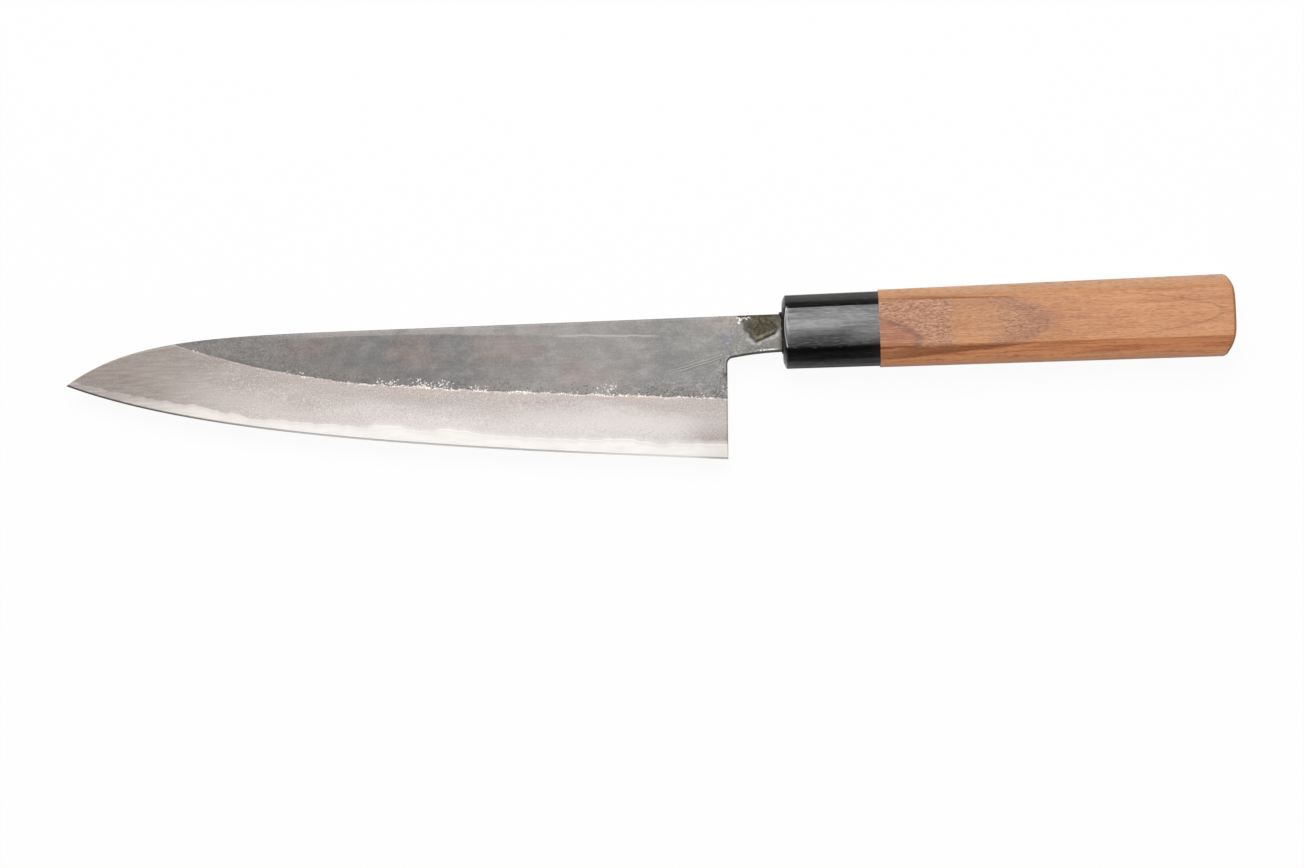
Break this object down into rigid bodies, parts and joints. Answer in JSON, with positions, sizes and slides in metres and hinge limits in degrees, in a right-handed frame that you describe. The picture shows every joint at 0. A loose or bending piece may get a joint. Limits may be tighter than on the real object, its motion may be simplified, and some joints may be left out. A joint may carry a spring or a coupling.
{
  "type": "gyuto knife",
  "caption": "Japanese chef's knife with a laminated wide-bevel blade, bare core steel along the edge and an octagonal wooden stick-tang handle with a black horn ferrule.",
  "frame": {"origin": "centre of the bounding box in X and Y, at the lowest point of the knife lying on its right side", "axes": "+X along the handle from blade tip to butt, +Y from the cutting edge to the spine, +Z through the thickness, out of the blade's left face"},
  "size_m": [0.3712, 0.0524, 0.0206],
  "materials": {
    "core_steel": "finely ground and bright, with a narrow sharpened edge",
    "forged_iron": "mottled forge scale above the shoulder line, stone-ground misty bevel below it",
    "resin": "dark filling, slightly glossy",
    "horn": "polished black buffalo horn",
    "dowel_wood": "plain sawn hardwood",
    "grip_wood": "oiled reddish-brown hardwood with dark pores and arched figure"
  },
  "bodies": {
    "root": {"core_steel": "core_steel", "cladding_left": "forged_iron", "cladding_right": "forged_iron", "tang_seal": "resin", "ferrule": "horn", "dowel": "dowel_wood", "grip": "grip_wood"}
  },
  "joints": []
}
